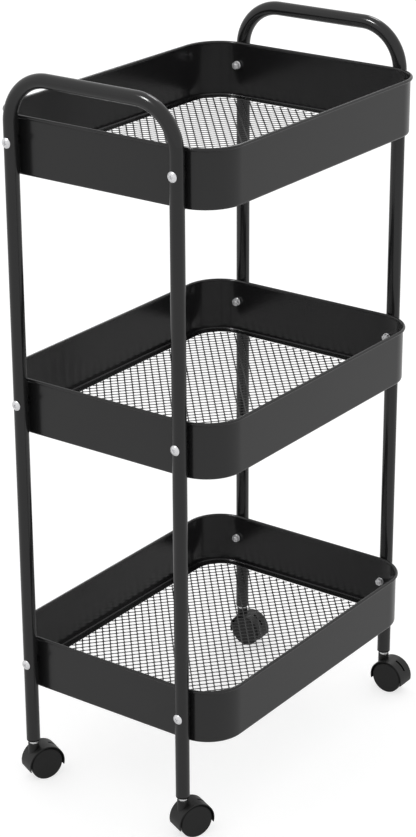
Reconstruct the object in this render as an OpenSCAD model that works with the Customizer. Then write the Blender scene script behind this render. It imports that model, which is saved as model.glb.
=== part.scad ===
// Three-tier rolling utility cart: two bent tube end frames, three sheet-steel trays with
// expanded-metal floors, and four twin-wheel swivel casters.
// X runs along the trays, Y across them, Z up. The origin is on the floor under the centre of
// the trays. "Left" and "right" are the -X and +X ends, "front" and "back" are the -Y and +Y sides.

/* [End frames] */
// Outside diameter of the frame tube
tube_d = 16; // [15:0.5:17]
// Wall thickness of the frame tube
tube_wall = 1.2; // [1:0.1:1.5]
// Distance between the two end frames, centre to centre
frame_spacing = 426; // [424:1:432]
// Distance between the two posts of one frame, centre to centre
post_spacing = 218; // [206:1:220]
// Height of the handle's centre line above the floor
handle_height = 845.5; // [820:0.5:870]
// Centre-line radius of the two bends under the handle
handle_bend = 51; // [40:1:60]
// Height of the underside of the post plugs
post_foot = 50; // [49.5:0.5:60]

/* [Trays] */
// Outside length of a tray's wall
tray_length = 405; // [400:1:405]
// Outside width of a tray's wall
tray_width = 299; // [296:1:310]
// Height of a tray from its underside to the top of its rolled rim
tray_height = 66; // [60:1:70]
// Outside radius of a tray's corners
tray_corner = 45; // [42:1:48]
// Thickness of the tray sheet
sheet = 1; // [0.8:0.1:1.2]
// Outside radius of the bend between a tray's wall and its ledge
wall_bend = 3; // [2.5:0.5:4]
// Width of the ledge that turns inward under a tray's wall
ledge = 10.5; // [9:0.5:14]
// Diameter of the rolled bead along a tray's rim
bead_d = 4; // [3.5:0.1:4.2]
// Height of the lower tray's underside
lower_tray_z = 117; // [110:1:125]
// Height of the middle tray's underside
middle_tray_z = 437; // [420:1:450]
// Height of the top tray's underside
top_tray_z = 735; // [725:1:745]
// Thickness of the expanded-metal floor panels
floor_t = 1.2; // [1:0.1:1.5]

/* [Fasteners] */
// Height of the lower tray's screws above its underside
lower_screw_up = 35.5; // [30:0.5:40]
// Height of the middle and top trays' screws above their undersides
upper_screw_up = 38.5; // [30:0.5:42]
// Diameter of the screw shanks
screw_d = 5; // [4:0.5:5]
// Diameter of the domed screw heads
head_d = 11.5; // [10:0.5:12]
// Height of the domed screw heads
head_h = 3; // [2.5:0.1:3.5]
// Width across the flats of the nuts
nut_af = 8; // [7:0.5:9]

/* [Casters] */
// Diameter of the caster wheels
wheel_d = 39; // [37:0.5:40]
// Width of a caster over its two wheels
wheels_width = 24; // [23:0.5:26]
// Distance from the swivel axis to the wheel axle
trail = 11.5; // [11:0.5:12.5]
// Outside radius of the hood over the wheels
hood_r = 22.5; // [22.2:0.1:23]
// Height of the hood's lower edge above the floor
hood_edge = 14; // [12:0.5:15]
// Way the two left casters point, from +X
left_swivel = -25; // [-180:5:180]
// Way the two right casters point, from +X
right_swivel = -90; // [-180:5:180]

/* [Hidden] */
$fn = 64;

// A little extra length, so that a cut runs clean through
over = 1;
// The four corners: side along X, side along Y, and the way the caster points
FRONT_LEFT = [-1, -1, left_swivel];
BACK_LEFT = [-1, 1, left_swivel];
FRONT_RIGHT = [1, -1, right_swivel];
BACK_RIGHT = [1, 1, right_swivel];

// Frames
tube_r = tube_d / 2;
tube_bore = tube_r - tube_wall;
frame_x = frame_spacing / 2;
post_y = post_spacing / 2;
plug_flange = 2.5;
plug_rim = 1.5;
plug_depth = 34;
tube_foot = post_foot + plug_flange;
bend_z = handle_height - handle_bend;
bend_y = post_y - handle_bend;

// Trays
bead_r = bead_d / 2;
// How far the bead's centre stands outside the wall's outer face
bead_out = 0.5;
half_length = tray_length / 2;
half_width = tray_width / 2;
corner_x = half_length - tray_corner;
corner_y = half_width - tray_corner;
floor_inset = 5;
level_z = [lower_tray_z, middle_tray_z, top_tray_z];
screw_up = [lower_screw_up, upper_screw_up, upper_screw_up];

// Fasteners
screw_r = screw_d / 2;
hole_r = screw_r + 0.25;
head_x = frame_x + tube_r;
wall_x = half_length - sheet;
spacer_r = 4.5;
spacer_gap = 0.05;
washer_r = 5;
washer_x = wall_x - 1.9;
nut_h = 4;
nut_x = washer_x - nut_h;
screw_tip_x = nut_x - 1.5;
// Sphere that the domed head is a cap of
dome_r = (head_h * head_h + head_d * head_d / 4) / (2 * head_h);
recess_span = 5;
recess_w = 1.1;
recess_depth = 1.8;

// Casters
wheel_r = wheel_d / 2;
web_half = 5;
wheel_gap = 0.3;
wheel_in = web_half + wheel_gap;
wheel_out = wheels_width / 2;
hood_half = wheel_out + 0.5;
well_r = wheel_r + 2;
hood_soft = 0.6;
neck_r = 6.5;
collar_z = post_foot - 3.5;
neck_top = collar_z - 0.2;
pin_r = 3.2;
pin_z = 26;
pin_bore = pin_r + 0.05;
collar_r = 5;
stem_r = 4;
stem_top = post_foot + 30;
ring_z = 30.5;
ring_r = 0.6;
ring_groove_r = pin_r - ring_r;
slot_w = 3;
slot_in = 13;
slot_from = 28;
slot_to = 72;
axle_r = 2;
axle_bore = axle_r + 0.05;
axle_half = wheel_out - 1.5;
axle_groove_r = 1.6;
axle_groove_y = 8.2;
axle_groove_w = 1;
snap_lip_r = axle_groove_r + 0.12;
snap_lip_w = 0.8;
wheel_rim_t = 2.4;
wheel_disc_t = 1.2;
wheel_hub_r = 4.4;
wheel_soft = 1;
rib_count = 6;
rib_t = 1.1;

// ---- placing ----

// Puts a post's own pieces under that post
module at_post(corner) {
    translate([corner[0] * frame_x, corner[1] * post_y, 0])
        children();
}

// Puts a caster's pieces under a post: local +X is the way it trails, local Y its axle
module at_caster(corner) {
    at_post(corner)
        rotate([0, 0, corner[2]])
            children();
}

// Puts a part that turns about +Z onto the caster's axle, which runs along Y
module on_axle() {
    translate([trail, 0, wheel_r])
        rotate([-90, 0, 0])
            children();
}

// Puts a part that lies along +X at each of a tray's four screws, +X pointing outward
module at_screws(level) {
    for (side = [-1, 1])
        for (across = [-1, 1])
            translate([0, across * post_y, level_z[level] + screw_up[level]])
                mirror([side < 0 ? 1 : 0, 0, 0])
                    children();
}

// A cylinder along +X, from x = low to x = high
module rod_x(r, low, high) {
    translate([low, 0, 0])
        rotate([0, 90, 0])
            cylinder(r = r, h = high - low);
}

// ---- end frames ----

// The solid path of an end frame's tube, in the YZ plane, with a given radius
module frame_path(r, foot) {
    for (side = [-1, 1]) {
        translate([0, side * post_y, foot])
            cylinder(r = r, h = bend_z - foot);
        translate([0, side * bend_y, bend_z])
            rotate([90, 0, side > 0 ? 90 : -90])
                rotate_extrude(angle = 90)
                    translate([handle_bend, 0])
                        circle(r = r);
    }
    translate([0, -bend_y, handle_height])
        rotate([-90, 0, 0])
            cylinder(r = r, h = 2 * bend_y);
}

// An upside-down U of round tube that is two posts and the handle between them
module end_frame(side) {
    color([0.16, 0.16, 0.165])
        translate([side * frame_x, 0, 0])
            difference() {
                frame_path(tube_r, tube_foot);
                frame_path(tube_bore, tube_foot - over);
                for (level = [0, 1, 2])
                    for (across = [-1, 1])
                        translate([0, across * post_y, level_z[level] + screw_up[level]])
                            rod_x(hole_r, -tube_r - over, tube_r + over);
            }
}

// A plastic plug in the post's lower end, with the socket for the caster's stem
module post_plug(corner) {
    color([0.06, 0.06, 0.06])
        at_post(corner)
            difference() {
                union() {
                    rotate_extrude()
                        polygon([
                            [0, post_foot],
                            [tube_r - plug_rim, post_foot],
                            for (a = [-75 : 15 : 0])
                                [tube_r - plug_rim + plug_rim * cos(a), post_foot + plug_rim * (1 + sin(a))],
                            [tube_r, tube_foot],
                            [0, tube_foot]
                        ]);
                    translate([0, 0, tube_foot])
                        cylinder(r = tube_bore, h = plug_depth - plug_flange);
                }
                translate([0, 0, post_foot - over])
                    cylinder(r = stem_r, h = plug_depth + 2 * over);
            }
}

// ---- trays ----

// A tray's section, drawn from the centre of a corner outward: ledge, bend, wall and bead
module tray_section() {
    translate([tray_corner - ledge, 0])
        square([ledge - wall_bend, sheet]);
    translate([tray_corner - wall_bend, wall_bend])
        intersection() {
            difference() {
                circle(r = wall_bend);
                circle(r = wall_bend - sheet);
            }
            translate([0, -wall_bend])
                square(wall_bend);
        }
    translate([tray_corner - sheet, wall_bend])
        square([sheet, tray_height - bead_r - wall_bend]);
    translate([tray_corner + bead_out, tray_height - bead_r])
        circle(r = bead_r);
}

// One straight run of the section, centred, with its outer face at +X = run
module tray_side(run, length) {
    translate([run - tray_corner, 0, 0])
        rotate([90, 0, 0])
            linear_extrude(height = length, center = true)
                tray_section();
}

// A tray's wall, bent from one strip, with a rolled rim and an inward ledge
module tray(level) {
    color([0.2, 0.2, 0.205])
        difference() {
            translate([0, 0, level_z[level]]) {
                for (turn = [0, 180])
                    rotate([0, 0, turn]) {
                        tray_side(half_length, 2 * corner_y);
                        rotate([0, 0, 90])
                            tray_side(half_width, 2 * corner_x);
                    }
                for (corner = [[1, 1, 0], [-1, 1, 90], [-1, -1, 180], [1, -1, 270]])
                    translate([corner[0] * corner_x, corner[1] * corner_y, 0])
                        rotate([0, 0, corner[2]])
                            rotate_extrude(angle = 90)
                                tray_section();
            }
            at_screws(level)
                rod_x(hole_r, wall_x - 2 * sheet - over, half_length + over);
        }
}

// The outline of a tray, drawn in by some distance, as a solid of a given height
module tray_block(inset, height) {
    linear_extrude(height = height) {
        square([2 * (half_length - inset), 2 * corner_y], center = true);
        square([2 * corner_x, 2 * (half_width - inset)], center = true);
        for (x = [-1, 1])
            for (y = [-1, 1])
                translate([x * corner_x, y * corner_y])
                    circle(r = tray_corner - inset);
    }
}

// The expanded-metal panel, welded under the ledge, as its closed outer shape
module mesh_floor(level) {
    color([0.12, 0.12, 0.125])
        translate([0, 0, level_z[level] - floor_t])
            tray_block(floor_inset, floor_t);
}

// ---- fasteners ----

// Cross recess in a screw's head, pressed in from +X
module cross_recess() {
    for (turn = [0, 90])
        rotate([turn, 0, 0])
            translate([head_x + head_h - recess_depth, -recess_span / 2, -recess_w / 2])
                cube([recess_depth + over, recess_span, recess_w]);
}

// Four domed machine screws, from outside each post into a tray
module tray_screws(level) {
    color([0.85, 0.85, 0.86])
        at_screws(level)
            difference() {
                union() {
                    rod_x(screw_r, screw_tip_x, head_x);
                    intersection() {
                        translate([head_x + head_h - dome_r, 0, 0])
                            sphere(r = dome_r);
                        rod_x(head_d, head_x, head_x + head_h + over);
                    }
                }
                cross_recess();
            }
}

// Four saddle spacers, hollowed to the tube on one side and to the tray on the other
module tray_spacers(level) {
    color([0.05, 0.05, 0.05])
        difference() {
            at_screws(level)
                rod_x(spacer_r, corner_x, frame_x - tube_r / 2);
            at_screws(level)
                rod_x(hole_r, corner_x - over, frame_x);
            for (corner = [FRONT_LEFT, BACK_LEFT, FRONT_RIGHT, BACK_RIGHT])
                at_post(corner)
                    translate([0, 0, level_z[level]])
                        cylinder(r = tube_r + spacer_gap, h = tray_height);
            translate([0, 0, level_z[level]])
                tray_block(-spacer_gap, tray_height);
        }
}

// Four washers against the inside of a tray's wall, shaped to it
module tray_washers(level) {
    color([0.75, 0.75, 0.76])
        difference() {
            intersection() {
                at_screws(level)
                    rod_x(washer_r, washer_x, half_length);
                translate([0, 0, level_z[level]])
                    tray_block(sheet + spacer_gap, tray_height);
            }
            at_screws(level)
                rod_x(hole_r, washer_x - over, half_length + over);
        }
}

// Four hexagon nuts on the screws' inner ends
module tray_nuts(level) {
    color([0.85, 0.85, 0.86])
        at_screws(level)
            difference() {
                translate([nut_x, 0, 0])
                    rotate([0, 90, 0])
                        cylinder(d = nut_af / cos(30), h = nut_h, $fn = 6);
                rod_x(screw_r, nut_x - over, washer_x + over);
            }
}

// ---- casters ----

// The steel stem: a pin that the hood turns on, a collar, and a shank in the post plug
module caster_stem(corner) {
    color([0.8, 0.8, 0.81])
        at_caster(corner)
            rotate_extrude()
                polygon([
                    [0, pin_z],
                    [pin_r - 0.5, pin_z],
                    [pin_r, pin_z + 0.5],
                    [pin_r, ring_z - ring_r],
                    [ring_groove_r, ring_z - ring_r],
                    [ring_groove_r, ring_z + ring_r],
                    [pin_r, ring_z + ring_r],
                    [pin_r, collar_z],
                    [collar_r, collar_z],
                    [collar_r, post_foot],
                    [stem_r, post_foot],
                    [stem_r, stem_top - 1],
                    [stem_r - 1, stem_top],
                    [0, stem_top]
                ]);
}

// The wire ring in the stem's groove that keeps the hood on the stem
module snap_ring(corner) {
    color([0.6, 0.6, 0.61])
        at_caster(corner)
            translate([0, 0, ring_z])
                rotate_extrude()
                    translate([ring_groove_r + ring_r, 0])
                        circle(r = ring_r);
}

// The moulded hood: fender over both wheels, web between them, and the neck round the stem
module caster_hood(corner) {
    color([0.1, 0.1, 0.1])
        at_caster(corner)
            difference() {
                union() {
                    intersection() {
                        on_axle()
                            rotate_extrude()
                                polygon([
                                    [0, -hood_half],
                                    [hood_r - hood_soft, -hood_half],
                                    [hood_r, -hood_half + hood_soft],
                                    [hood_r, hood_half - hood_soft],
                                    [hood_r - hood_soft, hood_half],
                                    [0, hood_half]
                                ]);
                        translate([trail - 2 * hood_r, -hood_half - over, hood_edge])
                            cube([4 * hood_r, 2 * (hood_half + over), 2 * hood_r]);
                    }
                    translate([0, 0, pin_z + over])
                        cylinder(r = neck_r, h = neck_top - pin_z - over);
                }
                for (side = [0, 1])
                    mirror([0, side, 0])
                        translate([trail, web_half, wheel_r])
                            rotate([-90, 0, 0])
                                cylinder(r = well_r, h = hood_half);
                translate([0, 0, pin_z - over])
                    cylinder(r = pin_bore, h = neck_top);
                translate([0, 0, ring_z - 2 * ring_r])
                    cylinder(r = pin_r + 2 * ring_r - 0.3, h = 4 * ring_r);
                on_axle()
                    cylinder(r = axle_r, h = 4 * web_half, center = true);
                hood_slot();
            }
}

// The open slot in the web's trailing side, between two rays from the axle
module hood_slot() {
    reach = 2 * hood_r;
    on_axle()
        translate([0, 0, -slot_w / 2])
            linear_extrude(height = slot_w)
                difference() {
                    polygon([
                        [0, 0],
                        [reach * cos(slot_from), -reach * sin(slot_from)],
                        [reach * cos(slot_to), -reach * sin(slot_to)]
                    ]);
                    circle(r = slot_in);
                }
}

// The steel axle, pressed through the web, with a groove at each end for a wheel's snap lip
module caster_axle(corner) {
    color([0.7, 0.7, 0.71])
        at_caster(corner)
            on_axle()
                difference() {
                    cylinder(r = axle_r, h = 2 * axle_half, center = true);
                    for (side = [-1, 1])
                        translate([0, 0, side * axle_groove_y])
                            difference() {
                                cylinder(r = 2 * axle_r, h = axle_groove_w, center = true);
                                cylinder(r = axle_groove_r, h = 2 * axle_groove_w, center = true);
                            }
                }
}

// Half of the wheel's section: tread, closed outer disc, hub, and the lip in the axle's groove
module wheel_section() {
    hub_end = wheel_out - wheel_disc_t;
    polygon([
        [wheel_r - wheel_rim_t, wheel_in],
        [wheel_r - wheel_soft, wheel_in],
        [wheel_r, wheel_in + wheel_soft],
        [wheel_r, wheel_out - wheel_soft],
        [wheel_r - wheel_soft, wheel_out],
        [0, wheel_out],
        [0, hub_end],
        [axle_bore, hub_end],
        [axle_bore, axle_groove_y + snap_lip_w / 2],
        [snap_lip_r, axle_groove_y + snap_lip_w / 2],
        [snap_lip_r, axle_groove_y - snap_lip_w / 2],
        [axle_bore, axle_groove_y - snap_lip_w / 2],
        [axle_bore, wheel_in],
        [wheel_hub_r, wheel_in],
        [wheel_hub_r, hub_end],
        [wheel_r - wheel_rim_t, hub_end]
    ]);
}

// One of a caster's two wheels: side 1 is on local +Y, side -1 on local -Y
module caster_wheel(corner, side) {
    rib_from = wheel_hub_r - 0.5;
    rib_to = wheel_r - wheel_rim_t + 0.5;
    color([0.11, 0.11, 0.11])
        at_caster(corner)
            on_axle()
                mirror([0, 0, side < 0 ? 1 : 0]) {
                    rotate_extrude()
                        wheel_section();
                    for (rib = [0 : rib_count - 1])
                        rotate([0, 0, rib * 360 / rib_count])
                            translate([rib_from, -rib_t / 2, wheel_in + 1])
                                cube([rib_to - rib_from, rib_t, wheel_out - wheel_in - 1 - wheel_disc_t / 2]);
                }
}

end_frame(-1);  // left_frame
end_frame(1);  // right_frame
post_plug(FRONT_LEFT);  // front_left_post_plug
post_plug(BACK_LEFT);  // back_left_post_plug
post_plug(FRONT_RIGHT);  // front_right_post_plug
post_plug(BACK_RIGHT);  // back_right_post_plug
tray(0);  // lower_tray
tray(1);  // middle_tray
tray(2);  // top_tray
mesh_floor(0);  // lower_mesh_floor
mesh_floor(1);  // middle_mesh_floor
mesh_floor(2);  // top_mesh_floor
tray_screws(0);  // lower_tray_screws
tray_screws(1);  // middle_tray_screws
tray_screws(2);  // top_tray_screws
tray_spacers(0);  // lower_tray_spacers
tray_spacers(1);  // middle_tray_spacers
tray_spacers(2);  // top_tray_spacers
tray_washers(0);  // lower_tray_washers
tray_washers(1);  // middle_tray_washers
tray_washers(2);  // top_tray_washers
tray_nuts(0);  // lower_tray_nuts
tray_nuts(1);  // middle_tray_nuts
tray_nuts(2);  // top_tray_nuts
caster_stem(FRONT_LEFT);  // front_left_stem
caster_stem(BACK_LEFT);  // back_left_stem
caster_stem(FRONT_RIGHT);  // front_right_stem
caster_stem(BACK_RIGHT);  // back_right_stem
snap_ring(FRONT_LEFT);  // front_left_snap_ring
snap_ring(BACK_LEFT);  // back_left_snap_ring
snap_ring(FRONT_RIGHT);  // front_right_snap_ring
snap_ring(BACK_RIGHT);  // back_right_snap_ring
caster_hood(FRONT_LEFT);  // front_left_hood
caster_hood(BACK_LEFT);  // back_left_hood
caster_hood(FRONT_RIGHT);  // front_right_hood
caster_hood(BACK_RIGHT);  // back_right_hood
caster_axle(FRONT_LEFT);  // front_left_axle
caster_axle(BACK_LEFT);  // back_left_axle
caster_axle(FRONT_RIGHT);  // front_right_axle
caster_axle(BACK_RIGHT);  // back_right_axle
caster_wheel(FRONT_LEFT, -1);  // front_left_wheel_outer
caster_wheel(FRONT_LEFT, 1);  // front_left_wheel_inner
caster_wheel(BACK_LEFT, -1);  // back_left_wheel_outer
caster_wheel(BACK_LEFT, 1);  // back_left_wheel_inner
caster_wheel(FRONT_RIGHT, 1);  // front_right_wheel_outer
caster_wheel(FRONT_RIGHT, -1);  // front_right_wheel_inner
caster_wheel(BACK_RIGHT, 1);  // back_right_wheel_outer
caster_wheel(BACK_RIGHT, -1);  // back_right_wheel_inner
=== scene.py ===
# %% [markdown]
# # A three-tier rolling utility cart
# The cart is two end frames of bent steel tube, three sheet-steel trays whose floors are expanded
# metal, and four plastic casters. The engineering model is already packed, and this script loads
# it as a fixed frame. Every piece here either keeps a node of that frame and gives it a finish, or
# is a finer piece that stands in for one and rides on the same body.

# %% Load the frame
import math

import bmesh
import bpy
from mathutils import Matrix, Vector


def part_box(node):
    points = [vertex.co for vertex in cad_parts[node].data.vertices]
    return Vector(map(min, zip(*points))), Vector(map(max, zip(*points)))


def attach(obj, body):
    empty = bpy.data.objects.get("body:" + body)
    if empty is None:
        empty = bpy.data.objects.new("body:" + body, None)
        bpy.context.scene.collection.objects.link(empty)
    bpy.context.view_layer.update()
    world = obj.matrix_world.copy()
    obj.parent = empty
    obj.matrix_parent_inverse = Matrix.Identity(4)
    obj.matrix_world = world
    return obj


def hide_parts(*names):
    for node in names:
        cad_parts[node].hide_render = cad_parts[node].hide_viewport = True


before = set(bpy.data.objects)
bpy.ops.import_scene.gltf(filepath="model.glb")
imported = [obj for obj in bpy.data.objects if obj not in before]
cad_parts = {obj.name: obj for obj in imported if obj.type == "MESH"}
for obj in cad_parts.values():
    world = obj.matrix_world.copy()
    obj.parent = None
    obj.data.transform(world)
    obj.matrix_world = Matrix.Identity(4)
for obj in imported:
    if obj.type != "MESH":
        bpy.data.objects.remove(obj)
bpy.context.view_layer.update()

# %% [markdown]
# ## Where the camera stands
# A long lens far away keeps the posts nearly parallel. The camera is placed from an azimuth and an
# elevation, so its turn follows from the way it looks, and a small shift frames the cart.

# %% Camera
scene = bpy.context.scene
scene.view_settings.view_transform = "Standard"

camera_place = Vector((-2.0122, -1.4539, 1.4327))
azimuth, elevation = math.radians(-54.649), math.radians(22.491)
camera_data = bpy.data.cameras.new("studio_camera")
camera_data.sensor_width, camera_data.lens = 36, 99.634
camera_data.shift_x, camera_data.shift_y = -0.02942, 0.0068
camera = bpy.data.objects.new("studio_camera", camera_data)
backward = Vector((
    math.sin(azimuth) * math.cos(elevation),
    -math.cos(azimuth) * math.cos(elevation),
    math.sin(elevation),
))
camera.rotation_mode = "QUATERNION"
camera.rotation_quaternion = (-backward).to_track_quat("-Z", "Y")
camera.location = camera_place
scene.collection.objects.link(camera)
scene.camera = camera
print("camera looks along", tuple(round(c, 3) for c in -backward))

# %% [markdown]
# ## Sizes that come from the frame
# Each node's box says where it is, so the pieces are placed from those numbers. The few sizes that
# no box shows, such as the bend of the handles, are written down here once.

# %% Sizes
MM = 0.001
LEVELS = ["lower", "middle", "top"]


def centre(node):
    """Middle of a node's box."""
    low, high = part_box(node)
    return (low + high) / 2


def size(node):
    """Lengths of a node's box along X, Y and Z."""
    low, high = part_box(node)
    return high - low


tube_r = size("left_frame").x / 2
frame_x = centre("right_frame").x
post_y = size("left_frame").y / 2 - tube_r
tube_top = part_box("left_frame")[1].z
tube_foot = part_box("left_frame")[0].z
print("in mm: tube radius, frames at x, posts at y",
      [round(c / MM, 1) for c in (tube_r, frame_x, post_y)])

# %% [markdown]
# ## Two helpers for node trees
# Geometry trees and shader trees are built the same way: make a node, set its settings, then give
# each input a value or a link. Inputs of a tree are made with the interface, and a piece's sizes
# are set by each socket's identifier before the piece is first evaluated.

# %% Node helpers
def add(tree, kind, inputs=None, **settings):
    """Adds a node. A value that is a socket is linked, and any other value is set."""
    made = tree.nodes.new(kind)
    for name, value in settings.items():
        setattr(made, name, value)
    for name, value in (inputs or {}).items():
        if isinstance(value, bpy.types.NodeSocket):
            tree.links.new(value, made.inputs[name])
        else:
            made.inputs[name].default_value = value
    return made


def math_of(tree, operation, *values):
    """Result socket of a Math node."""
    return add(tree, "ShaderNodeMath", dict(enumerate(values)), operation=operation).outputs[0]


def new_tree(name, kind, inputs, outputs):
    """A node group with named sockets, given as (name, kind, value) and (name, kind)."""
    tree = bpy.data.node_groups.new(name, kind)
    for label, socket, value in inputs:
        made = tree.interface.new_socket(label, in_out="INPUT", socket_type=socket)
        if value is not None:
            made.default_value = value
    for label, socket in outputs:
        tree.interface.new_socket(label, in_out="OUTPUT", socket_type=socket)
    return tree, add(tree, "NodeGroupInput").outputs, add(tree, "NodeGroupOutput")


def grow(name, tree, **values):
    """Runs a geometry tree with these inputs and returns what it makes as a plain mesh."""
    carrier = bpy.data.objects.new(name, bpy.data.meshes.new(name))
    scene.collection.objects.link(carrier)
    modifier = carrier.modifiers.new("grow", "NODES")
    modifier.node_group = tree
    for item in tree.interface.items_tree:
        if item.in_out == "INPUT" and item.name in values:
            modifier[item.identifier] = values[item.name]
    shaped = carrier.evaluated_get(bpy.context.evaluated_depsgraph_get())
    mesh = bpy.data.meshes.new_from_object(shaped)
    mesh.name = name
    bpy.data.objects.remove(carrier)
    return mesh


def hang(name, mesh, body, slot, *nodes):
    """Makes a mesh a piece on a body, in place of the nodes that it stands for."""
    piece = bpy.data.objects.new(name, mesh)
    scene.collection.objects.link(piece)
    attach(piece, body)
    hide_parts(*nodes)
    print(f"{name}: {len(mesh.polygons)} faces on {body}")
    return piece


print("helpers:", [helper.__name__ for helper in (add, math_of, new_tree, grow, hang)])

# %% [markdown]
# ## Finishes shared by the steel parts
# Black powder coat is sprayed as dry powder and melted in an oven. It cures into a semi-gloss skin
# with a fine orange peel, thins out along sharp edges, and draws dust on faces that look up. The
# edges are also painted lighter, partly as wear and partly as a painted highlight. Each of these
# effects is a small node group that puts out only a mask or a height, so the frame, the trays and
# the mesh can share them with their own values.

# %% Effect groups
def object_noise(tree, scale, detail=2.0, roughness=0.5):
    """Noise over the piece's own coordinates, with scale in waves per metre."""
    place = add(tree, "ShaderNodeTexCoord").outputs["Object"]
    inputs = {"Vector": place, "Scale": scale, "Detail": detail, "Roughness": roughness}
    return add(tree, "ShaderNodeTexNoise", inputs).outputs["Fac"]


def orange_peel_group():
    """Height of the coat's skin, and slow patches of gloss."""
    tree, given, result = new_tree(
        "Orange Peel", "ShaderNodeTree",
        [("Waves Per Metre", "NodeSocketFloat", 600.0), ("Fine Share", "NodeSocketFloat", 0.3)],
        [("Height", "NodeSocketFloat"), ("Patches", "NodeSocketFloat")],
    )
    coarse = object_noise(tree, given["Waves Per Metre"])
    fine = object_noise(tree, math_of(tree, "MULTIPLY", given["Waves Per Metre"], 3.1))
    height = math_of(tree, "ADD", coarse, math_of(tree, "MULTIPLY", fine, given["Fine Share"]))
    tree.links.new(height, result.inputs["Height"])
    tree.links.new(object_noise(tree, 14.0, 3.0), result.inputs["Patches"])
    return tree


def edge_wear_and_highlight_group():
    """Mask of the edges, where a coat is thin and handling polishes it, and where the lighter
    colour laid on is also a painted highlight.
    """
    tree, given, result = new_tree(
        "Edge Wear And Highlight", "ShaderNodeTree",
        [("Width", "NodeSocketFloat", 0.0005), ("Amount", "NodeSocketFloat", 1.0)],
        [("Mask", "NodeSocketFloat")],
    )
    rounded = add(tree, "ShaderNodeBevel", {"Radius": given["Width"]}, samples=4).outputs["Normal"]
    plain = add(tree, "ShaderNodeNewGeometry").outputs["Normal"]
    turn = add(tree, "ShaderNodeVectorMath", {0: rounded, 1: plain}, operation="DOT_PRODUCT")
    edge = math_of(tree, "SUBTRACT", 1.0, turn.outputs["Value"])
    broken = math_of(tree, "MULTIPLY", edge, object_noise(tree, 220.0, 4.0, 0.7))
    mask = math_of(tree, "MULTIPLY", broken, given["Amount"])
    made = add(tree, "ShaderNodeClamp", {"Value": mask}).outputs[0]
    tree.links.new(made, result.inputs["Mask"])
    return tree


def dust_group():
    """Mask of the faces that look up, broken into soft specks."""
    tree, given, result = new_tree(
        "Settled Dust", "ShaderNodeTree",
        [("Amount", "NodeSocketFloat", 0.1)],
        [("Mask", "NodeSocketFloat")],
    )
    facing = add(tree, "ShaderNodeNewGeometry").outputs["Normal"]
    up = add(tree, "ShaderNodeSeparateXYZ", {0: facing}).outputs["Z"]
    level = add(tree, "ShaderNodeMapRange", {"Value": up, "From Min": 0.35, "From Max": 1.0})
    specks = math_of(tree, "POWER", object_noise(tree, 90.0, 6.0, 0.75), 2.0)
    spread = math_of(tree, "MULTIPLY", level.outputs[0], specks)
    mask = math_of(tree, "MULTIPLY", spread, given["Amount"])
    tree.links.new(mask, result.inputs["Mask"])
    return tree


def moulded_grain_group():
    """Height of the fine matt texture that a spark-eroded mould leaves on plastic."""
    tree, given, result = new_tree(
        "Moulded Grain", "ShaderNodeTree",
        [("Grains Per Metre", "NodeSocketFloat", 1800.0)],
        [("Height", "NodeSocketFloat"), ("Patches", "NodeSocketFloat")],
    )
    place = add(tree, "ShaderNodeTexCoord").outputs["Object"]
    cells = add(
        tree, "ShaderNodeTexVoronoi",
        {"Vector": place, "Scale": given["Grains Per Metre"]}, feature="SMOOTH_F1",
    ).outputs["Distance"]
    tree.links.new(cells, result.inputs["Height"])
    tree.links.new(object_noise(tree, 60.0, 3.0), result.inputs["Patches"])
    return tree


orange_peel = orange_peel_group()
edge_wear_and_highlight = edge_wear_and_highlight_group()
settled_dust = dust_group()
moulded_grain = moulded_grain_group()
print("effect groups:", [group.name for group in bpy.data.node_groups])

# %% Powder coat
DUST_COLOUR = (0.42, 0.41, 0.39, 1)
# Edge colours, lighter than the coat and the nylon: partly wear, partly a painted highlight.
WORN_AND_HIGHLIT_COAT = (0.10, 0.10, 0.105, 1)
WORN_AND_HIGHLIT_PLASTIC = (0.03, 0.03, 0.03, 1)


def grey(tone, blue=None):
    """A grey, or one whose blue differs a little."""
    return (tone, tone, tone if blue is None else blue, 1)


def place_group(tree, group, **values):
    """Puts an effect group in a material with its own values."""
    made = add(tree, "ShaderNodeGroup", node_tree=group)
    for name, value in values.items():
        made.inputs[name.replace("_", " ")].default_value = value
    return made.outputs


def blend_of(tree, share, first, second):
    """Colour mixed from two colours or sockets."""
    inputs = {0: share, 6: first, 7: second}
    return add(tree, "ShaderNodeMix", inputs, data_type="RGBA").outputs[2]


def ranged(tree, value, low, high):
    """A 0 to 1 value spread between two numbers."""
    inputs = {"Value": value, "To Min": low, "To Max": high}
    return add(tree, "ShaderNodeMapRange", inputs).outputs[0]


def roughen(tree, shader, height, distance):
    """Turns a height into fine relief on the shader."""
    relief = add(tree, "ShaderNodeBump", {"Strength": 1.0, "Distance": distance, "Height": height})
    tree.links.new(relief.outputs[0], shader.inputs["Normal"])


def new_material(name):
    """An empty material and its shader, which stays in the material itself."""
    material = bpy.data.materials.new(name)
    material.use_nodes = True
    tree = material.node_tree
    tree.nodes.clear()
    shader = add(tree, "ShaderNodeBsdfPrincipled")
    add(tree, "ShaderNodeOutputMaterial", {"Surface": shader.outputs[0]})
    return material, tree, shader


def powder_coat(name, dark, light, gloss, waves, bump, dust):
    """Black powder coat: a tone that drifts, orange peel, lighter edges that are partly wear and
    partly a painted highlight, and a little dust.
    """
    material, tree, shader = new_material(name)
    peel = place_group(tree, orange_peel, Waves_Per_Metre=waves, Fine_Share=0.3)
    wear_and_highlight = place_group(tree, edge_wear_and_highlight, Width=0.5 * MM, Amount=1.6)
    dusty = place_group(tree, settled_dust, Amount=dust)
    tone = blend_of(tree, peel["Patches"], dark, light)
    # Edges painted lighter: partly worn coat, partly a painted highlight.
    tone = blend_of(tree, wear_and_highlight["Mask"], tone, WORN_AND_HIGHLIT_COAT)
    tone = blend_of(tree, dusty["Mask"], tone, DUST_COLOUR)
    tree.links.new(tone, shader.inputs["Base Color"])
    tree.links.new(ranged(tree, peel["Patches"], gloss[0], gloss[1]), shader.inputs["Roughness"])
    roughen(tree, shader, peel["Height"], bump)
    return material


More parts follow.
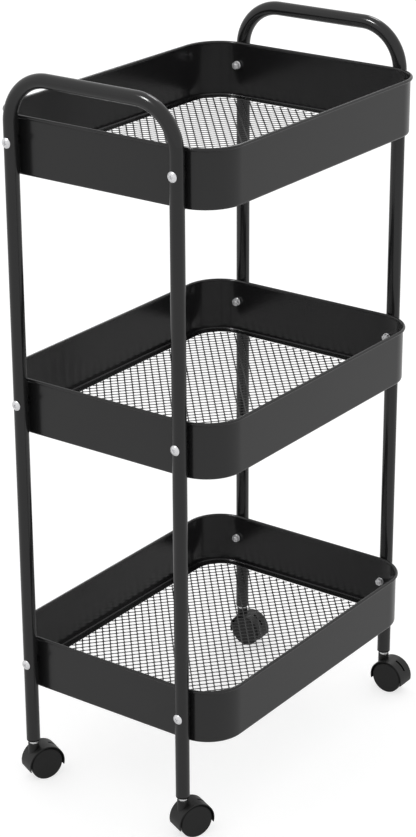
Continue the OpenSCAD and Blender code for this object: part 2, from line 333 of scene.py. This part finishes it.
frame_coat = powder_coat(
    "frame_powder_coat", grey(0.008, 0.0083), grey(0.011, 0.0113),
    gloss=(0.14, 0.19), waves=500.0, bump=0.003 * MM, dust=0.02,
)
tray_coat = powder_coat(
    "tray_powder_coat", grey(0.008, 0.0083), grey(0.011, 0.0113),
    gloss=(0.17, 0.23), waves=420.0, bump=0.003 * MM, dust=0.02,
)
mesh_coat = powder_coat(
    "mesh_powder_coat", grey(0.010, 0.0102), grey(0.014, 0.0142),
    gloss=(0.46, 0.54), waves=700.0, bump=0.004 * MM, dust=0.03,
)
print("coats:", frame_coat.name, tray_coat.name, mesh_coat.name)

# %% [markdown]
# ## Plated steel and moulded plastic
# The screws, washers and nuts are zinc plated, so they are metal with a soft, slightly cloudy
# shine. The walls of each screw's cross recess are painted near black, as painted shade in the
# recess. The caster stems are polished brighter. The hoods, wheels and post plugs are moulded
# black nylon, with a fine matt grain that the mould leaves.

# %% Metal and plastic
def plated_steel(name, colour, cloudy, gloss, metal):
    """Plated steel: cloudy metal with fine marks from the tumbling drum."""
    material, tree, shader = new_material(name)
    clouds = object_noise(tree, 260.0, 5.0, 0.65)
    tree.links.new(blend_of(tree, clouds, colour, cloudy), shader.inputs["Base Color"])
    tree.links.new(ranged(tree, clouds, gloss[0], gloss[1]), shader.inputs["Roughness"])
    shader.inputs["Metallic"].default_value = metal
    roughen(tree, shader, object_noise(tree, 2400.0, 3.0, 0.6), 0.004 * MM)
    return material


def moulded_plastic(name, dark, light, gloss, grains, bump, shine):
    """Moulded black nylon: fine grain, slow patches of gloss, edges rubbed and also painted lighter
    as a highlight, and some dust.
    """
    material, tree, shader = new_material(name)
    grain = place_group(tree, moulded_grain, Grains_Per_Metre=grains)
    wear_and_highlight = place_group(tree, edge_wear_and_highlight, Width=0.4 * MM, Amount=1.2)
    dusty = place_group(tree, settled_dust, Amount=0.06)
    tone = blend_of(tree, grain["Patches"], dark, light)
    # Edges painted lighter: partly rubbed nylon, partly a painted highlight.
    tone = blend_of(tree, wear_and_highlight["Mask"], tone, WORN_AND_HIGHLIT_PLASTIC)
    tone = blend_of(tree, dusty["Mask"], tone, DUST_COLOUR)
    tree.links.new(tone, shader.inputs["Base Color"])
    tree.links.new(ranged(tree, grain["Patches"], gloss[0], gloss[1]), shader.inputs["Roughness"])
    roughen(tree, shader, grain["Height"], bump)
    shader.inputs["Specular IOR Level"].default_value = shine
    return material


zinc = plated_steel(
    "zinc_plate", grey(0.90, 0.91), grey(0.78, 0.80), gloss=(0.20, 0.32), metal=0.5,
)
nut_zinc = plated_steel(
    "zinc_nut", grey(0.97, 0.98), grey(0.88, 0.90), gloss=(0.12, 0.22), metal=0.45,
)
# Near-black colour for the recess walls: painted shade of the recess, not a finish of the plating.
recess_painted_shade = plated_steel(
    "zinc_recess_painted_shade", grey(0.03), grey(0.015), gloss=(0.50, 0.65), metal=0.3,
)
polished = plated_steel(
    "bright_steel", grey(0.95), grey(0.88, 0.89), gloss=(0.20, 0.32), metal=0.6,
)
hood_plastic = moulded_plastic(
    "hood_plastic", grey(0.007), grey(0.011),
    gloss=(0.36, 0.46), grains=1600.0, bump=0.01 * MM, shine=0.32,
)
wheel_plastic = moulded_plastic(
    "wheel_plastic", grey(0.008), grey(0.012),
    gloss=(0.42, 0.52), grains=1900.0, bump=0.01 * MM, shine=0.28,
)
plug_plastic = moulded_plastic(
    "plug_plastic", grey(0.003), grey(0.005),
    gloss=(0.40, 0.50), grains=1900.0, bump=0.01 * MM, shine=0.1,
)
print("metal and plastic:", zinc.name, polished.name, hood_plastic.name, wheel_plastic.name)

# %% [markdown]
# ## End frames
# Each end frame is one tube that goes up from the casters, bends twice and comes down again, so
# its crossbar is the push handle. A round tube along a path is a rule, so a geometry tree makes it:
# four corner points, a fillet at the two upper ones, and a circle swept along the line.

# %% Frame tree
HANDLE_BEND = 51 * MM
BEND_STEPS = 40
PATH_STEP = 3 * MM
TUBE_AROUND = 56


def last_steps(tree, geometry, finish, result):
    """Gives a tree's geometry its finish and hands it out."""
    coated = add(tree, "GeometryNodeSetMaterial", {"Geometry": geometry, "Material": finish})
    tree.links.new(coated.outputs[0], result.inputs[0])


def points_at(tree, count, position):
    """A row of points, each moved to its own position."""
    row = add(tree, "GeometryNodeMeshLine", {"Count": count}).outputs[0]
    return add(tree, "GeometryNodeSetPosition", {"Geometry": row, "Position": position}).outputs[0]


def bent_tube_tree():
    """An upside-down U of round tube in the YZ plane."""
    names = ["Place", "Half Spacing", "Top", "Foot", "Bend", "Radius"]
    tree, given, result = new_tree(
        "Bent Tube Frame", "GeometryNodeTree",
        [(name, "NodeSocketFloat", 0.1) for name in names]
        + [("Finish", "NodeSocketMaterial", None)],
        [("Tube", "NodeSocketGeometry")],
    )
    centre_top = math_of(tree, "SUBTRACT", given["Top"], given["Radius"])
    nearer = math_of(tree, "MULTIPLY", given["Half Spacing"], -1.0)
    spots = [
        add(tree, "ShaderNodeCombineXYZ", {0: given["Place"], 1: side, 2: height}).outputs[0]
        for side, height in (
            (nearer, given["Foot"]), (nearer, centre_top),
            (given["Half Spacing"], centre_top), (given["Half Spacing"], given["Foot"]),
        )
    ]
    chosen = add(tree, "GeometryNodeIndexSwitch", data_type="VECTOR")
    while len(chosen.index_switch_items) < len(spots):
        chosen.index_switch_items.new()
    tree.links.new(add(tree, "GeometryNodeInputIndex").outputs[0], chosen.inputs["Index"])
    for number, spot in enumerate(spots):
        tree.links.new(spot, chosen.inputs[1 + number])
    line = add(tree, "GeometryNodeMeshToCurve", {0: points_at(tree, len(spots), chosen.outputs[0])})
    bent = add(
        tree, "GeometryNodeFilletCurve",
        {"Curve": line.outputs[0], "Count": BEND_STEPS, "Radius": given["Bend"]}, mode="POLY",
    )
    even = add(
        tree, "GeometryNodeResampleCurve",
        {"Curve": bent.outputs[0], "Length": PATH_STEP}, mode="LENGTH",
    )
    ring = add(
        tree, "GeometryNodeCurvePrimitiveCircle",
        {"Resolution": TUBE_AROUND, "Radius": given["Radius"]},
    )
    tube = add(
        tree, "GeometryNodeCurveToMesh",
        {"Curve": even.outputs[0], "Profile Curve": ring.outputs[0], "Fill Caps": True},
    )
    solid = add(tree, "GeometryNodeRealizeInstances", {0: tube.outputs[0]})
    last_steps(tree, solid.outputs[0], given["Finish"], result)
    return tree


bent_tube = bent_tube_tree()
print(bent_tube.name, "tree:", len(bent_tube.nodes), "nodes")

# %% Frames
def smooth(mesh, degrees=32):
    """Smooth shading that stays crisp at edges sharper than some angle."""
    mesh.shade_smooth()
    mesh.set_sharp_from_angle(angle=math.radians(degrees))
    return mesh


for side in ["left", "right"]:
    tube = grow(
        side + "_end_frame", bent_tube, Place=centre(side + "_frame").x, Radius=tube_r,
        Top=tube_top, Foot=tube_foot, Bend=HANDLE_BEND, Finish=frame_coat,
        **{"Half Spacing": post_y},
    )
    hang(side + "_end_frame", smooth(tube, 60), "cart", "frame_coating", side + "_frame")

# %% [markdown]
# ## Trays
# A tray's wall is one strip of sheet steel, bent round four corners. Its lower edge turns in as a
# ledge that carries the floor, and its upper edge is rolled outward into a bead, which stiffens it
# and leaves no raw edge. The section is drawn once and swept round the outline in mesh code, with
# extra loops beside each bend so that the flat walls stay flat when shaded smooth.

# %% Tray section
TRAY_CORNER = 45 * MM
CORNER_STEPS = 28
SHEET = 1 * MM
WALL_BEND = 3 * MM
LEDGE = 10.5 * MM
BEAD_R = 2 * MM
BEAD_OUT = 0.5 * MM
BESIDE = 0.3 * MM


def arc(x, z, radius, start, end, steps):
    """Points on an arc, with angles in degrees."""
    turns = [math.radians(start + (end - start) * i / steps) for i in range(steps + 1)]
    return [(x + radius * math.cos(a), z + radius * math.sin(a)) for a in turns]


def tray_section(height):
    """Closed section of the strip: how far out of the wall's face, and how high."""
    bead_z = height - BEAD_R
    outer = math.degrees(math.acos(-BEAD_OUT / BEAD_R))
    inner = math.degrees(math.acos(-(SHEET + BEAD_OUT) / BEAD_R))
    lip = SHEET / 2
    points = arc(lip - LEDGE, lip, lip, 90, 270, 6)
    points += [(lip + BESIDE - LEDGE, 0), (-WALL_BEND - BESIDE, 0)]
    points += arc(-WALL_BEND, WALL_BEND, WALL_BEND, -90, 0, 10)
    bead_foot = bead_z - BEAD_R * math.sin(math.radians(outer))
    points += [(0, WALL_BEND + BESIDE), (0, bead_foot - BESIDE)]
    points += arc(BEAD_OUT, bead_z, BEAD_R, -outer, 360 - inner, 30)
    points += [(-SHEET, bead_z - BEAD_R - BESIDE), (-SHEET, WALL_BEND + BESIDE)]
    points += arc(-WALL_BEND, WALL_BEND, WALL_BEND - SHEET, 0, -90, 8)
    points += [(-WALL_BEND - BESIDE, SHEET), (lip + BESIDE - LEDGE, SHEET)]
    return points


section = tray_section(size("lower_tray").z)
print("tray section:", len(section), "points")

# %% Tray walls
def bridge(rings, name, closed=True):
    """Quads between rings of points. A closed set of rings joins its last to its first."""
    mesh = bpy.data.meshes.new(name)
    count, around = len(rings), len(rings[0])
    faces = []
    for number in range(count if closed else count - 1):
        this, following = number * around, (number + 1) % count * around
        for step in range(around):
            beside = (step + 1) % around
            faces.append((this + step, following + step, following + beside, this + beside))
    mesh.from_pydata([p for ring in rings for p in ring], [], faces)
    return mesh


def outward(mesh):
    """Turns every face of a closed mesh to point outward."""
    work = bmesh.new()
    work.from_mesh(mesh)
    bmesh.ops.recalc_face_normals(work, faces=work.faces)
    work.to_mesh(mesh)
    work.free()
    return mesh


def outline_stations(half_x, half_y, radius, steps):
    """Centres and angles round a rounded rectangle, with one more station beside each corner."""
    stations = []
    for number, (sx, sy) in enumerate([(1, 1), (-1, 1), (-1, -1), (1, -1)]):
        x, y = sx * (half_x - radius), sy * (half_y - radius)
        start = math.radians(90 * number)
        end = start + math.pi / 2
        stations.append((x + BESIDE * math.sin(start), y - BESIDE * math.cos(start), start))
        stations += [(x, y, start + (end - start) * i / steps) for i in range(steps + 1)]
        stations.append((x - BESIDE * math.sin(end), y + BESIDE * math.cos(end), end))
    return stations


def tray_wall(name, base):
    """Sweeps the section round the tray's outline."""
    half_x = size(name).x / 2 - BEAD_R - BEAD_OUT
    half_y = size(name).y / 2 - BEAD_R - BEAD_OUT
    rings = []
    for x, y, angle in outline_stations(half_x, half_y, TRAY_CORNER, CORNER_STEPS):
        ways = math.cos(angle), math.sin(angle)
        arms = [(TRAY_CORNER + out, base + up) for out, up in section]
        rings.append([(x + arm * ways[0], y + arm * ways[1], high) for arm, high in arms])
    return outward(bridge(rings, name))


for level in LEVELS:
    name = level + "_tray"
    wall = tray_wall(name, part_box(name)[0].z)
    wall.materials.append(tray_coat)
    hang(name + "_wall", smooth(wall), "cart", "tray_coating", name)

# %% [markdown]
# ## Expanded-metal floors
# A sheet is slit in short staggered rows and pulled open, so every strand stays joined to the next
# at a bond. Rolled flat again, it is a net of diamonds with thicker knots. One bond with its four
# half strands is the cell that repeats, so a geometry tree lays it out in staggered rows, drops the
# cells that fall outside the tray's ledge, and welds the strand ends together.

# %% Mesh cell
LONG_WAY = 12.97 * MM
SHORT_WAY = 10.94 * MM
STRAND = 1.05 * MM
STRAND_T = 0.55 * MM
BOND_X = 1.5 * MM
BOND_Y = 1.0 * MM
WELD_GAP = 0.02 * MM
NET_CORNER = 37 * MM


def cell_outline():
    """Outline of a bond and its four half strands."""
    mid = Vector((LONG_WAY / 4, SHORT_WAY / 4))
    along = mid.normalized()
    across = Vector((-along.y, along.x)) * STRAND / 2
    quarter = [Vector((BOND_X, 0)), mid - across, mid + across]
    half = quarter + [Vector((0, BOND_Y))] + [Vector((-p.x, p.y)) for p in reversed(quarter)]
    return half + [-p for p in half[1:-1]]


def mesh_cell():
    """The cell as a mesh, open at its strand ends, which are every third edge."""
    outline = cell_outline()
    count = len(outline)
    points = [(p.x, p.y, z) for z in (-STRAND_T / 2, STRAND_T / 2) for p in outline]
    faces = [tuple(reversed(range(count))), tuple(range(count, 2 * count))]
    for i in range(count):
        j = (i + 1) % count
        if i % 3 != 1:
            faces.append((i, j, count + j, count + i))
    mesh = bpy.data.meshes.new("mesh_cell")
    mesh.from_pydata(points, [], faces)
    return mesh


cell = bpy.data.objects.new("mesh_cell", mesh_cell())
print("mesh cell:", len(cell.data.polygons), "faces")

# %% Floor tree
def expanded_metal_tree():
    """Cells in staggered rows, cut to a rounded rectangle."""
    sizes = ["Long Way", "Short Way", "Half Length", "Half Width", "Corner", "Height"]
    tree, given, result = new_tree(
        "Expanded Metal", "GeometryNodeTree",
        [(name, "NodeSocketFloat", 0.1) for name in sizes]
        + [("Columns", "NodeSocketInt", 32), ("Rows", "NodeSocketInt", 56)]
        + [("Cell", "NodeSocketObject", None), ("Finish", "NodeSocketMaterial", None)],
        [("Floor", "NodeSocketGeometry")],
    )
    count = math_of(tree, "MULTIPLY", given["Columns"], given["Rows"])
    index = add(tree, "GeometryNodeInputIndex").outputs[0]
    row = math_of(tree, "FLOORED_MODULO", index, given["Rows"])
    column = math_of(tree, "FLOOR", math_of(tree, "DIVIDE", index, given["Rows"]))
    stagger = math_of(tree, "MULTIPLY", math_of(tree, "FLOORED_MODULO", row, 2.0), 0.5)
    half_columns = math_of(tree, "DIVIDE", given["Columns"], 2.0)
    half_rows = math_of(tree, "DIVIDE", given["Rows"], 2.0)
    step_x = math_of(tree, "SUBTRACT", math_of(tree, "ADD", column, stagger), half_columns)
    step_y = math_of(tree, "SUBTRACT", row, half_rows)
    x = math_of(tree, "MULTIPLY", step_x, given["Long Way"])
    y = math_of(tree, "MULTIPLY", step_y, math_of(tree, "MULTIPLY", given["Short Way"], 0.5))
    squares = []
    for value, half in ((x, "Half Length"), (y, "Half Width")):
        past = math_of(tree, "SUBTRACT", math_of(tree, "ABSOLUTE", value), given[half])
        beyond = math_of(tree, "MAXIMUM", math_of(tree, "ADD", past, given["Corner"]), 0.0)
        squares.append(math_of(tree, "MULTIPLY", beyond, beyond))
    reach = math_of(tree, "SQRT", math_of(tree, "ADD", *squares))
    outside = math_of(tree, "GREATER_THAN", reach, given["Corner"])
    spot = add(tree, "ShaderNodeCombineXYZ", {0: x, 1: y, 2: given["Height"]}).outputs[0]
    kept = add(
        tree, "GeometryNodeDeleteGeometry",
        {"Geometry": points_at(tree, count, spot), "Selection": outside}, domain="POINT",
    )
    shape = add(tree, "GeometryNodeObjectInfo", {"Object": given["Cell"]})
    placed = add(
        tree, "GeometryNodeInstanceOnPoints",
        {"Points": kept.outputs[0], "Instance": shape.outputs["Geometry"]},
    )
    solid = add(tree, "GeometryNodeRealizeInstances", {0: placed.outputs[0]})
    welded = add(
        tree, "GeometryNodeMergeByDistance",
        {"Geometry": solid.outputs[0], "Distance": WELD_GAP},
    )
    last_steps(tree, welded.outputs[0], given["Finish"], result)
    return tree


expanded_metal = expanded_metal_tree()
print(expanded_metal.name, "tree:", len(expanded_metal.nodes), "nodes")

# %% Floors
def close_ends(mesh):
    """Caps the strands that were cut at the panel's edge."""
    work = bmesh.new()
    work.from_mesh(mesh)
    bmesh.ops.holes_fill(work, edges=[e for e in work.edges if e.is_boundary], sides=8)
    open_edges = sum(e.is_boundary for e in work.edges)
    work.to_mesh(mesh)
    work.free()
    print(mesh.name, "open edges left:", open_edges)
    return mesh


for level in LEVELS:
    name = level + "_mesh_floor"
    extent = size(name)
    net = grow(
        name, expanded_metal, Corner=NET_CORNER, Height=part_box(name)[1].z - STRAND_T / 2,
        Cell=cell, Finish=mesh_coat,
        **{"Long Way": LONG_WAY, "Half Length": extent.x / 2 - LONG_WAY / 4},
        **{"Short Way": SHORT_WAY, "Half Width": extent.y / 2 - SHORT_WAY / 4},
    )
    hang(level + "_expanded_metal", smooth(close_ends(net), 30), "cart", "mesh_coating", name)

# %% [markdown]
# ## Screws, nuts, washers and spacers
# A machine screw goes from outside each post, through a saddle spacer and the tray's wall, into a
# washer and a nut. Each is turned on a lathe in the workshop, so here its half section is turned
# round the X axis. It is made once, lying along +X, and a geometry tree sets it at a tray's four
# screw holes, with a turn of its own for each so that the recesses and flats don't line up.

# %% Turned parts
SCREW_R = 2.5 * MM
AROUND = 40
AROUND_SHAPED = 120


def turned(profile, shape=None):
    """Turns (x, radius) points round X. shape(x, radius, angle) may move a point."""
    rings = []
    steps = AROUND_SHAPED if shape else AROUND
    for x, radius in profile:
        ring = []
        for step in range(steps):
            angle = 2 * math.pi * step / steps
            px, pr = shape(x, radius, angle) if shape else (x, radius)
            ring.append((px, pr * math.cos(angle), pr * math.sin(angle)))
        rings.append(ring)
    return rings


def capped(name, rings):
    """Rings joined into a solid, with a cap on each end."""
    mesh = bridge(rings, name, closed=False)
    work = bmesh.new()
    work.from_mesh(mesh)
    bmesh.ops.holes_fill(work, edges=[e for e in work.edges if e.is_boundary])
    bmesh.ops.recalc_face_normals(work, faces=work.faces)
    work.to_mesh(mesh)
    work.free()
    return mesh


HEAD_R = size("lower_tray_screws").z / 2
HEAD_H = 3 * MM
HEAD_X = frame_x + tube_r
DOME_R = (HEAD_H ** 2 + HEAD_R ** 2) / (2 * HEAD_H)
HEAD_RIM = 0.35 * MM
DOME_STEPS, DOME_FLAT = 12, 0.3 * MM
SCREW_TIP = 194.1 * MM
SCREW_LEAD = 0.5 * MM
THREADED = 6 * MM
THREAD_POINTS, THREAD_STEP = 14, 0.4 * MM
CREST, GROOVE, SHANK = 0.1 * MM, 0.42 * MM, 0.05 * MM


def screw_rings():
    """Rolled thread at the tip, plain shank, and a domed head with a rounded rim."""
    profile = []
    for turn in range(THREAD_POINTS):
        cut_in = (CREST if turn % 2 else GROOVE) + (0 if turn else SCREW_LEAD)
        profile.append((SCREW_TIP + THREAD_STEP * turn, SCREW_R - cut_in))
    profile += [(SCREW_TIP + THREADED, SCREW_R - SHANK), (HEAD_X, SCREW_R - SHANK)]
    nick = 0.1 * MM
    profile += [(HEAD_X, HEAD_R - HEAD_RIM), (HEAD_X + nick, HEAD_R - nick)]
    profile.append((HEAD_X + HEAD_RIM, HEAD_R))
    half = math.asin(HEAD_R / DOME_R)
    for step in range(1, DOME_STEPS):
        turn = half * (1 - step / DOME_STEPS)
        x = HEAD_X + HEAD_H - DOME_R * (1 - math.cos(turn))
        if x > HEAD_X + HEAD_RIM:
            profile.append((x, DOME_R * math.sin(turn)))
    profile.append((HEAD_X + HEAD_H, DOME_FLAT))
    return turned(profile)


RECESS_DEPTH, RECESS_CLEAR = 2.2 * MM, 0.4 * MM
RECESS_MOUTH = (6.0 * MM, 1.8 * MM)
RECESS_FLOOR = (3.0 * MM, 1.1 * MM)


def cross_cutter():
    """A tapered cross, as the punch that forms a screw's recess."""
    work = bmesh.new()
    for turn in (0, math.pi / 2):
        made = bmesh.ops.create_cube(work, size=1)["verts"]
        for vertex in made:
            deep = vertex.co.x < 0
            long_side, short_side = RECESS_FLOOR if deep else RECESS_MOUTH
            vertex.co.x = HEAD_X + HEAD_H + (-RECESS_DEPTH if deep else RECESS_CLEAR)
            vertex.co.y *= long_side
            vertex.co.z *= short_side
        bmesh.ops.rotate(work, verts=made, matrix=Matrix.Rotation(turn, 3, "X"))
    mesh = bpy.data.meshes.new("cross_cutter")
    work.to_mesh(mesh)
    work.free()
    return mesh


def cut(name, mesh, tool):
    """Takes one mesh out of another."""
    body, cutter = bpy.data.objects.new(name, mesh), bpy.data.objects.new("cutter", tool)
    for item in (body, cutter):
        scene.collection.objects.link(item)
    modifier = body.modifiers.new("cut", "BOOLEAN")
    modifier.object, modifier.operation, modifier.solver = cutter, "DIFFERENCE", "EXACT"
    modifier.use_self = True
    shaped = body.evaluated_get(bpy.context.evaluated_depsgraph_get())
    done = bpy.data.meshes.new_from_object(shaped)
    done.name = name
    for item in (body, cutter):
        bpy.data.objects.remove(item)
    return done


screw = cut("screw", capped("screw", screw_rings()), cross_cutter())
print("screw:", len(screw.polygons), "faces")

# %% Nut, washer and spacer
NUT_START, NUT_END = 195.6 * MM, 199.6 * MM
NUT_HALF = 4 * MM
NUT_CHAMFER = math.radians(30)
FACE_R, BORE_CHAMFER = 0.96 * NUT_HALF, 0.4 * MM


def nut_shape(x, radius, angle):
    """Presses the turned blank to a hexagon, with its corners chamfered."""
    chamfer_from = 0.97 * NUT_HALF
    if radius < chamfer_from:
        return x, radius
    corner = NUT_HALF / math.cos((angle + math.pi / 6) % (math.pi / 3) - math.pi / 6)
    drop = math.tan(NUT_CHAMFER) * (corner - chamfer_from)
    return (x - drop if x > (NUT_START + NUT_END) / 2 else x + drop), corner


bore = SCREW_R - 0.1 * MM
nut = outward(bridge(turned([
    (NUT_START + BORE_CHAMFER, bore), (NUT_START, bore + BORE_CHAMFER), (NUT_START, FACE_R),
    (NUT_START, NUT_HALF), (NUT_END, NUT_HALF), (NUT_END, FACE_R),
    (NUT_END, bore + BORE_CHAMFER), (NUT_END - BORE_CHAMFER, bore),
], nut_shape), "nut"))

WASHER_R, WASHER_T, NICK = 4.8 * MM, 1 * MM, 0.15 * MM
washer_bore, washer_end = SCREW_R + 0.2 * MM, NUT_END + WASHER_T
washer = outward(bridge(turned([
    (NUT_END, washer_bore + NICK), (NUT_END, WASHER_R - NICK), (NUT_END + NICK, WASHER_R),
    (washer_end - NICK, WASHER_R), (washer_end, WASHER_R - NICK), (washer_end, washer_bore),
    (NUT_END + NICK, washer_bore),
]), "washer"))

SPACER_R, SPACER_BORE, SPACER_NICK = 4.5 * MM, 2.75 * MM, 0.3 * MM
FIT_GAP = 0.05 * MM
wall_face = size("lower_tray").x / 2 - BEAD_R - BEAD_OUT


def spacer_shape(x, radius, angle):
    """Hollows the end that sits on the tube to the tube's own curve."""
    if x < frame_x - tube_r:
        return x, radius
    side = radius * math.cos(angle)
    return frame_x - math.sqrt((tube_r + FIT_GAP) ** 2 - side ** 2), radius


spacer_start = wall_face + FIT_GAP
spacer = outward(bridge(turned([
    (spacer_start, SPACER_BORE), (spacer_start, SPACER_R - SPACER_NICK),
    (spacer_start + SPACER_NICK, SPACER_R), (frame_x, SPACER_R), (frame_x, SPACER_BORE),
], spacer_shape), "spacer"))
print("faces:", [len(mesh.polygons) for mesh in (nut, washer, spacer)])

# %% Fastener tree
FULL_TURN = 6.28
HOLES = 4


def four_holes_tree():
    """One part set at a tray's four screw holes, each with a turn of its own about its length."""
    tree, given, result = new_tree(
        "Parts At Four Holes", "GeometryNodeTree",
        [
            ("Part", "NodeSocketObject", None), ("Half Spacing", "NodeSocketFloat", 0.1),
            ("Height", "NodeSocketFloat", 0.1), ("Most Turn", "NodeSocketFloat", FULL_TURN),
            ("Seed", "NodeSocketInt", 1), ("Finish", "NodeSocketMaterial", None),
        ],
        [("Parts", "NodeSocketGeometry")],
    )
    index = add(tree, "GeometryNodeInputIndex").outputs[0]
    nearer = math_of(tree, "MULTIPLY", math_of(tree, "FLOORED_MODULO", index, 2.0), 2.0)
    across = math_of(tree, "SUBTRACT", nearer, 1.0)
    y = math_of(tree, "MULTIPLY", across, given["Half Spacing"])
    end = math_of(tree, "FLOOR", math_of(tree, "DIVIDE", index, 2.0))
    spot = add(tree, "ShaderNodeCombineXYZ", {1: y, 2: given["Height"]}).outputs[0]
    facing = add(tree, "ShaderNodeCombineXYZ", {2: math_of(tree, "MULTIPLY", end, math.pi)})
    part = add(tree, "GeometryNodeObjectInfo", {"Object": given["Part"]}).outputs["Geometry"]
    copies = add(
        tree, "GeometryNodeInstanceOnPoints",
        {"Points": points_at(tree, HOLES, spot), "Instance": part, "Rotation": facing.outputs[0]},
    )
    chance = add(tree, "FunctionNodeRandomValue", data_type="FLOAT")
    for socket in chance.inputs:
        if socket.name == "Max" and socket.enabled:
            tree.links.new(given["Most Turn"], socket)
        if socket.name == "Seed":
            tree.links.new(given["Seed"], socket)
    own = [socket for socket in chance.outputs if socket.enabled][0]
    roll = add(tree, "ShaderNodeCombineXYZ", {0: own})
    rolled = add(
        tree, "GeometryNodeRotateInstances",
        {"Instances": copies.outputs[0], "Rotation": roll.outputs[0]},
    )
    solid = add(tree, "GeometryNodeRealizeInstances", {0: rolled.outputs[0]})
    last_steps(tree, solid.outputs[0], given["Finish"], result)
    return tree


four_holes = four_holes_tree()
print(four_holes.name, "tree:", len(four_holes.nodes), "nodes")

# %% Fasteners
FASTENERS = [
    ("screws", screw, zinc, "zinc_plate", FULL_TURN, 3),
    ("nuts", nut, nut_zinc, "zinc_plate", FULL_TURN, 11),
    ("washers", washer, nut_zinc, "zinc_plate", FULL_TURN, 17),
    ("spacers", spacer, plug_plastic, "plug_plastic", 0.0, 23),
]
RECESS_REACH, RECESS_ABOVE, UNDER_DOME = 3.2 * MM, 0.5 * MM, 0.12 * MM


def paint_recess_shade(mesh, height):
    """Paints the walls of each head's cross recess near black, as painted shade in the recess."""
    mesh.materials.append(recess_painted_shade)
    inside = 0
    for face in mesh.polygons:
        spot = face.center
        off = math.hypot(abs(spot.y) - post_y, spot.z - height)
        if off > RECESS_REACH:
            continue
        dome = HEAD_X + HEAD_H - DOME_R + math.sqrt(DOME_R ** 2 - off ** 2)
        if HEAD_X + RECESS_ABOVE < abs(spot.x) < dome - UNDER_DOME:
            face.material_index = 1
            inside += 1
    print(mesh.name, "recess faces:", inside)


for kind, mesh, finish, slot, most_turn, seed in FASTENERS:
    part = bpy.data.objects.new("one_" + kind, mesh)
    for number, level in enumerate(LEVELS):
        name = f"{level}_tray_{kind}"
        made = grow(
            name, four_holes, Part=part, Height=centre(name).z, Seed=seed + number, Finish=finish,
            **{"Half Spacing": post_y, "Most Turn": most_turn},
        )
        # The walls of each screw head's cross recess are painted near black as shade.
        if kind == "screws":
            paint_recess_shade(made, centre(name).z)
        hang(f"{level}_{kind}", smooth(made), "cart", slot, name)
    bpy.data.objects.remove(part)
bpy.data.objects.remove(cell)

# %% [markdown]
# ## Casters and plugs
# These shapes are right as the frame has them, so the nodes stay and only take a finish.

# %% Finishes for the kept nodes
FINISHES = {
    "_post_plug": plug_plastic, "_stem": polished, "_snap_ring": zinc, "_axle": zinc,
    "_hood": hood_plastic, "_wheel_outer": wheel_plastic, "_wheel_inner": wheel_plastic,
}
for name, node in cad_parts.items():
    for ending, finish in FINISHES.items():
        if name.endswith(ending):
            node.data.materials.clear()
            node.data.materials.append(finish)
print("finished nodes:", sum(name.endswith(tuple(FINISHES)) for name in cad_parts))

# %% [markdown]
# ## Studio
# The cart stands on a plain pale floor under a bright, even sky, as in a white tent. The floor and
# the sky look brighter to the camera than they light the cart. Two lamps above it draw the streaks
# on the handles' bends.

# %% Floor and light
FLOOR_REACH = 30
FLOOR_LIGHT, FLOOR_LOOK = 0.30, 0.67
SKY_LIGHT, SKY_LOOK = 0.83, 1.0

floor_mesh = bpy.data.meshes.new("studio_floor")
floor_ways = [(-1, -1), (1, -1), (1, 1), (-1, 1)]
floor_corners = [(x * FLOOR_REACH, y * FLOOR_REACH, 0) for x, y in floor_ways]
floor_mesh.from_pydata(floor_corners, [], [(0, 1, 2, 3)])
floor_material, floor_tree, floor_shader = new_material("studio_floor")
floor_shader.inputs["Base Color"].default_value = grey(0.50)
floor_shader.inputs["Roughness"].default_value = 0.9
floor_shader.inputs["Emission Color"].default_value = grey(1)
seen = add(floor_tree, "ShaderNodeLightPath").outputs["Is Camera Ray"]
glow = ranged(floor_tree, seen, FLOOR_LIGHT, FLOOR_LOOK)
floor_tree.links.new(glow, floor_shader.inputs["Emission Strength"])
floor_mesh.materials.append(floor_material)
floor = bpy.data.objects.new("studio_floor", floor_mesh)
scene.collection.objects.link(floor)

world = bpy.data.worlds.new("studio_tent")
world.use_nodes = True
sky = world.node_tree.nodes["Background"]
sky.inputs["Color"].default_value = grey(1)
seen = add(world.node_tree, "ShaderNodeLightPath").outputs["Is Camera Ray"]
glow = ranged(world.node_tree, seen, SKY_LIGHT, SKY_LOOK)
world.node_tree.links.new(glow, sky.inputs["Strength"])
scene.world = world


def lamp(name, way, wide, high, power):
    """A rectangular lamp far away in some direction, that only draws its own reflection."""
    data = bpy.data.lights.new(name, "AREA")
    data.shape, data.size, data.size_y, data.energy = "RECTANGLE", wide, high, power
    made = bpy.data.objects.new(name, data)
    made.location = Vector((0, 0, 0.5)) + 4 * Vector(way).normalized()
    made.rotation_mode = "QUATERNION"
    made.rotation_quaternion = Vector(way).to_track_quat("Z", "Y")
    made.visible_diffuse = False
    scene.collection.objects.link(made)
    return made


lamp("upper_left_lamp", (-0.50, 0.22, 0.84), 0.7, 0.7, 60)
lamp("upper_right_lamp", (0.66, 0.2, 0.72), 0.9, 0.9, 18)
print("lamps:", len(bpy.data.lights))
